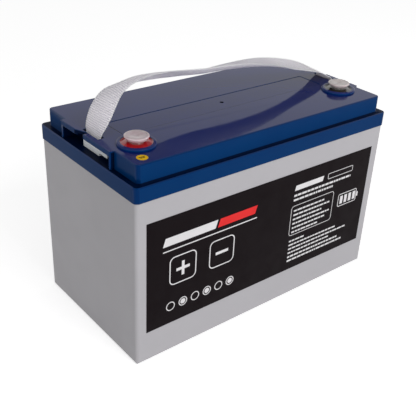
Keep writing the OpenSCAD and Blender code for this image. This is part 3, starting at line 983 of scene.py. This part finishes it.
def label_print():
    """A generic print: a two-colour stripe, plus and minus, six cell marks and rows of dashes.
    Places are from the label's lower left corner."""
    page = Print(label_low, (1, 0, 0), (0, 0, 1), (0, -1, 0))
    draw = random.Random(11)
    page.bar(18, 90, 62, 9, 3)
    page.bar(83, 90, 48, 9, 3, ink=1)
    page.bar(18, 84, 116, 1.2, 0.4)
    plus, minus = 26, 74
    for u in (plus, minus):
        page.frame(u, 44, 32, 32, 6, 1.2)
        page.bar(u + 8, 58.4, 16, 3.2)
    for v in (52, 61.6):
        page.bar(plus + 14.4, v, 3.2, 6.4)
    for k in range(6):
        page.ring(28 + 15 * k, 20, 5.2, 1.0)
        if k % 2:
            page.shape(circle(28 + 15 * k, 20, 3.0, 28))
    page.bar(186, 99, 42, 6, 1.5)
    page.frame(236, 98.5, 40, 7, 1.5, 0.7)
    text_rows(page, 186, 92, (88, 60), 2.4, 5.4, draw)
    page.frame(184, 44, 66, 37, 4, 0.7)
    text_rows(page, 188, 73.5, (48, 56, 44, 57, 52, 40), 2.0, 5.3, draw)
    for k in range(4):
        page.bar(262 + 7 * k, 60, 4.5, 10)
    page.frame(258.5, 57, 31, 16, 2.5, 0.9)
    page.shape(rounded_box(290, 62, 2.2, 6, 0.8))
    text_rows(page, 186, 36, (24, 74, 92, 66), 1.9, 5.0, draw)
    text_rows(page, 186, 15.5, (80, 88), 2.2, 5.0, draw)
    made = mesh_of(page.bm, "label_print")
    made.data.materials.append(white_ink)
    made.data.materials.append(red_ink)
    return made


finish_piece(label_print(), "case", None, "label_film")
finish_piece(
    rounded_copy("front_label", "label_sheet", lambda edge: FILM_EDGE, 2),
    "case",
    film("film_black", rgb(15, 8, 11), rgb(11, 5, 8), 0.5),
    "label_film",
    "front_label",
)


def sticker_marks():
    """Two rows of dashes inside a ring of ticks, as on a blank date mark."""
    centre = (sticker_low + sticker_high) / 2
    page = Print((centre[0], centre[1], sticker_high[2]), (1, 0, 0), (0, 1, 0), (0, 0, 1))
    r = (sticker_high[0] - sticker_low[0]) / 2 - 0.9
    for k in range(12):
        a = k * math.pi / 6
        page.bar(r * math.cos(a) - 0.2, r * math.sin(a) - 0.2, 0.4, 0.4)
    rows = [(-3, 0.4, 1.8), (-0.9, 0.4, 1.4), (0.9, 0.4, 2.1), (-2.4, -1.4, 2.3), (0.3, -1.4, 2)]
    for u, v, w in rows:
        page.bar(u, v, w, 1.2)
    return mesh_of(page.bm, "sticker_marks")


finish_piece(
    sticker_marks(),
    "case",
    film("ink_brown", rgb(34, 26, 12), rgb(28, 21, 10), 0.5),
    "sticker_yellow",
)
finish_piece(
    rounded_copy("date_sticker", "date_disc", lambda edge: STICKER_EDGE, 2),
    "case",
    film("film_yellow", rgb(236, 190, 20), rgb(224, 176, 16), 0.4),
    "sticker_yellow",
    "date_sticker",
)


# ---- inside ----

VALVE_EDGE = 0.4
VALVE_PLAY = 0.02
CELLS = range(1, 7)

soft_black = rubber("rubber_black")
for cell in CELLS:
    name = f"valve_cap_{cell}"
    valve = rounded_copy(name, f"valve_{cell}_cap", lambda edge: VALVE_EDGE)
    valve.data.transform(Matrix.Translation((0, 0, -VALVE_PLAY * MM)))
    finish_piece(valve, f"valve_{cell}", soft_black, "rubber_black", name)
brown = paste("paste_positive", rgb(84, 52, 38), rgb(66, 40, 30))
grey = paste("paste_negative", rgb(104, 106, 110), rgb(84, 86, 90))
mat = glass_mat("glass_mat_white")
cast = lead("cast_lead")
for cell in CELLS:
    repaint(f"positive_plates_{cell}", brown)
    repaint(f"negative_plates_{cell}", grey)
    repaint(f"separators_{cell}", mat)
for cell in CELLS[:-1]:
    repaint(f"cell_weld_{cell}", cast)
for sign in ("positive", "negative"):
    repaint(sign + "_post", cast)
    repaint(sign + "_gasket", soft_black)


# ---- studio ----

WHITE = (1.0, 1.0, 1.0, 1.0)
FLOOR_Z = -0.0002
LAMPS_AIM = Vector((0, 0, 0.15))


def seen_directly(tree):
    """1 for rays from the camera, a mirror or glass, and 0 for the light that falls on things."""
    path = tree.nodes.new("ShaderNodeLightPath")
    total = path.outputs["Is Camera Ray"]
    for ray in ("Is Glossy Ray", "Is Transmission Ray"):
        add = tree.nodes.new("ShaderNodeMath")
        add.operation = "MAXIMUM"
        tree.links.new(total, add.inputs[0])
        tree.links.new(path.outputs[ray], add.inputs[1])
        total = add.outputs["Value"]
    return total


def white_world(level):
    """White where it is seen, and soft light of the given level where it falls on things."""
    world = bpy.data.worlds.new("studio")
    bpy.context.scene.world = world
    world.use_nodes = True
    tree = world.node_tree
    shown = tree.nodes["Background"]
    strength = tree.nodes.new("ShaderNodeMapRange")
    tree.links.new(seen_directly(tree), strength.inputs["Value"])
    strength.inputs["To Min"].default_value = level
    strength.inputs["To Max"].default_value = 1.0
    shown.inputs["Color"].default_value = WHITE
    tree.links.new(strength.outputs["Result"], shown.inputs["Strength"])


def pale_floor(size, lift):
    """A pale square floor, size metres wide, that keeps the shadow. Where it is seen, a glow of
    strength lift makes up for what the lamps leave short of white."""
    bm = bmesh.new()
    bmesh.ops.create_grid(bm, x_segments=1, y_segments=1, size=size / 2 / MM)
    floor = mesh_of(bm, "floor")
    floor.location.z = FLOOR_Z
    material = bpy.data.materials.new("floor_pale")
    material.use_nodes = True
    tree = material.node_tree
    shader = tree.nodes["Principled BSDF"]
    shader.inputs["Base Color"].default_value = rgb(228, 228, 228)
    shader.inputs["Roughness"].default_value = 1.0
    shader.inputs["Specular IOR Level"].default_value = 0.0
    shader.inputs["Emission Color"].default_value = WHITE
    glow = tree.nodes.new("ShaderNodeMath")
    glow.operation = "MULTIPLY"
    glow.inputs[1].default_value = lift
    tree.links.new(seen_directly(tree), glow.inputs[0])
    tree.links.new(glow.outputs["Value"], shader.inputs["Emission Strength"])
    floor.data.materials.append(material)


def soft_lamp(name, azimuth, elevation, distance, size, power):
    """An area lamp aimed at the battery. Azimuth 0 is along +X, and 90 along +Y. Size and
    distance are in metres, and power is in watts."""
    a, e = math.radians(azimuth), math.radians(elevation)
    away = Vector((math.cos(a) * math.cos(e), math.sin(a) * math.cos(e), math.sin(e)))
    data = bpy.data.lights.new(name, "AREA")
    data.shape = "RECTANGLE"
    data.size, data.size_y = size
    data.energy = power
    lamp = object_of(data, name)
    lamp.location = LAMPS_AIM + away * distance
    lamp.rotation_mode = "QUATERNION"
    lamp.rotation_quaternion = away.to_track_quat("Z", "Y")
    return lamp


def camera(location, yaw, pitch, roll, lens):
    """Yaw turns from +Y towards +X, pitch looks down and roll turns the picture."""
    yaw, pitch, roll = (math.radians(v) for v in (yaw, pitch, roll))
    north, east = math.cos(yaw), math.sin(yaw)
    ahead = Vector((east * math.cos(pitch), north * math.cos(pitch), -math.sin(pitch)))
    right = Vector((north, -east, 0))
    up = right.cross(ahead)
    x = right * math.cos(roll) + up * math.sin(roll)
    y = up * math.cos(roll) - right * math.sin(roll)
    data = bpy.data.cameras.new("camera")
    data.sensor_width = 36.0
    data.lens = lens
    data.clip_start = 0.01
    made = object_of(data, "camera")
    turn = Matrix((x, y, -ahead)).transposed().to_4x4()
    made.matrix_world = Matrix.Translation(location) @ turn
    bpy.context.scene.camera = made


white_world(0.42)
pale_floor(12.0, 0.6)
soft_lamp("lamp_right", -84, 38, 2.1, (0.92, 0.55), 10.5)
soft_lamp("lamp_left", -176, 38, 1.9, (0.45, 0.45), 2.3)
soft_lamp("lamp_low", -98, 3, 2.4, (1.6, 0.5), 21.5).visible_glossy = False
camera((-0.4514, -0.5215, 0.4711), 40.12, 29.29, 2.89, 60.62)
bpy.context.scene.view_settings.view_transform = "Standard"
